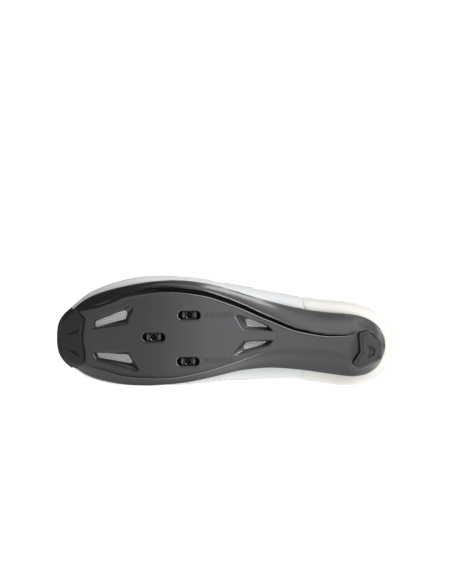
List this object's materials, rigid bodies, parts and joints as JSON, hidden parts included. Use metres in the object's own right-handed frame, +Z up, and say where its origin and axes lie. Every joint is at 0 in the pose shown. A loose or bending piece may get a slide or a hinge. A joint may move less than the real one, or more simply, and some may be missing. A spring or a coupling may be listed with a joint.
{
  "type": "road cycling shoe",
  "caption": "Left road cycling shoe lying on its arch side: stiff sole with cleat slots and vents, hollow white upper, straps, heel pad.",
  "frame": {"origin": "on the floor, under the middle of the box of the shoe as it lies on its arch side", "axes": "+X from the toe to the heel, +Y from the sole towards the collar, +Z up, towards the outer side of the foot"},
  "size_m": [0.279, 0.1016, 0.0918],
  "materials": {
    "sole": "satin moulded composite",
    "rubber": "matt rubber",
    "pad": "satin hard rubber",
    "steel": "dark plated steel",
    "screen": "woven mesh",
    "upper": "smooth synthetic leather",
    "counter": "satin moulded film",
    "padding": "padded textile",
    "lining": "knitted textile",
    "strap": "smooth synthetic leather"
  },
  "bodies": {
    "root": {"outsole": "sole", "toe_bumper": "rubber", "heel_pad": "pad", "cleat_nut_front": "steel", "cleat_nut_rear_medial": "steel", "cleat_nut_rear_lateral": "steel", "vent_screen_front_lateral": "screen", "vent_screen_front_medial": "screen", "vent_screen_rear_lateral": "screen", "vent_screen_rear_medial": "screen", "upper": "upper", "heel_counter": "counter", "tongue": "padding", "insole": "lining", "strap_front": "strap", "strap_rear": "strap"}
  },
  "joints": []
}
